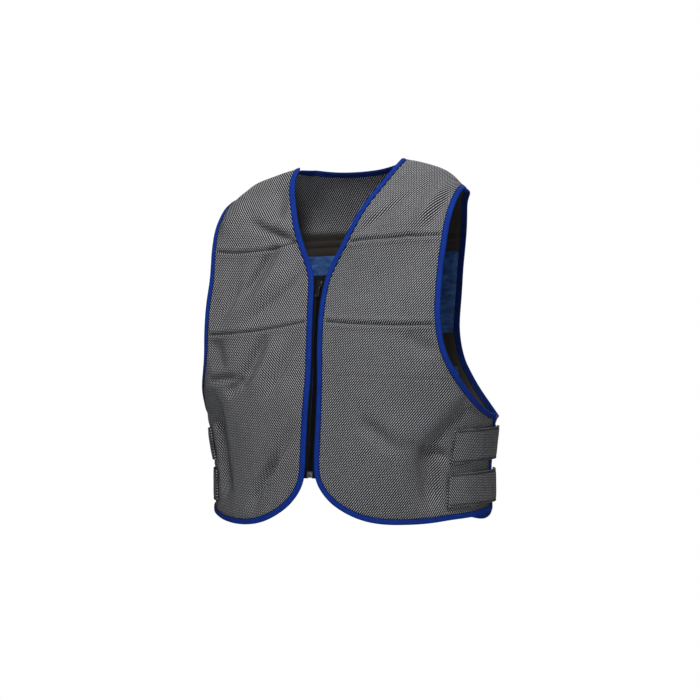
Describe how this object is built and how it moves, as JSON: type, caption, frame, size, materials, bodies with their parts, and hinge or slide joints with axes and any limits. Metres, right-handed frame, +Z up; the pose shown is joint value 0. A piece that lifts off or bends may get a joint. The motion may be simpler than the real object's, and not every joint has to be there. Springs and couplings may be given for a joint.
{
  "type": "cooling vest",
  "caption": "Sleeveless V-neck work vest of quilted spacer mesh with bound edges, a front zip, side straps and two cooling pads inside the back.",
  "frame": {"origin": "between the shoulders, at the height where the vest sits on them", "axes": "+Z up, +X to the wearer's left, -Y to the front"},
  "size_m": [0.4772, 0.2714, 0.5577],
  "materials": {
    "spacer_mesh": "matte knitted spacer mesh, near black with light grey dashes",
    "strap_mesh": "matte knitted mesh over elastic webbing",
    "binding_tape": "royal blue twill tape",
    "pad_cloth": "steel blue woven polyester, softly crinkled",
    "zip_tape": "black woven tape",
    "zip_teeth": "black nylon coil",
    "zip_slider_paint": "black enamel, worn on its edges",
    "zip_box_metal": "dull grey metal"
  },
  "bodies": {
    "vest": {"front_panel_left": "spacer_mesh", "front_panel_right": "spacer_mesh", "back_panel": "spacer_mesh", "side_strap_upper_left": "strap_mesh", "side_strap_lower_left": "strap_mesh", "side_strap_upper_right": "strap_mesh", "side_strap_lower_right": "strap_mesh", "front_edge_binding_left": "binding_tape", "front_edge_binding_right": "binding_tape", "front_armhole_binding_left": "binding_tape", "front_armhole_binding_right": "binding_tape", "back_armhole_binding_left": "binding_tape", "back_armhole_binding_right": "binding_tape", "back_hem_binding": "binding_tape", "back_neck_binding": "binding_tape", "cooling_pad_upper": "pad_cloth", "cooling_pad_lower": "pad_cloth", "zip_tape_left": "zip_tape", "zip_tape_right": "zip_tape", "zip_chain": "zip_teeth", "zip_slider": "zip_slider_paint", "zip_bottom_box": "zip_box_metal"},
    "pull": {"zip_pull": "zip_slider_paint"}
  },
  "joints": [
    {"name": "pull_swing", "type": "hinge", "parent": "vest", "child": "pull", "pos_m": [-0.00687, -0.10824, -0.18045], "axis": [-1, 0, 0], "range_deg": [0, 175]}
  ]
}
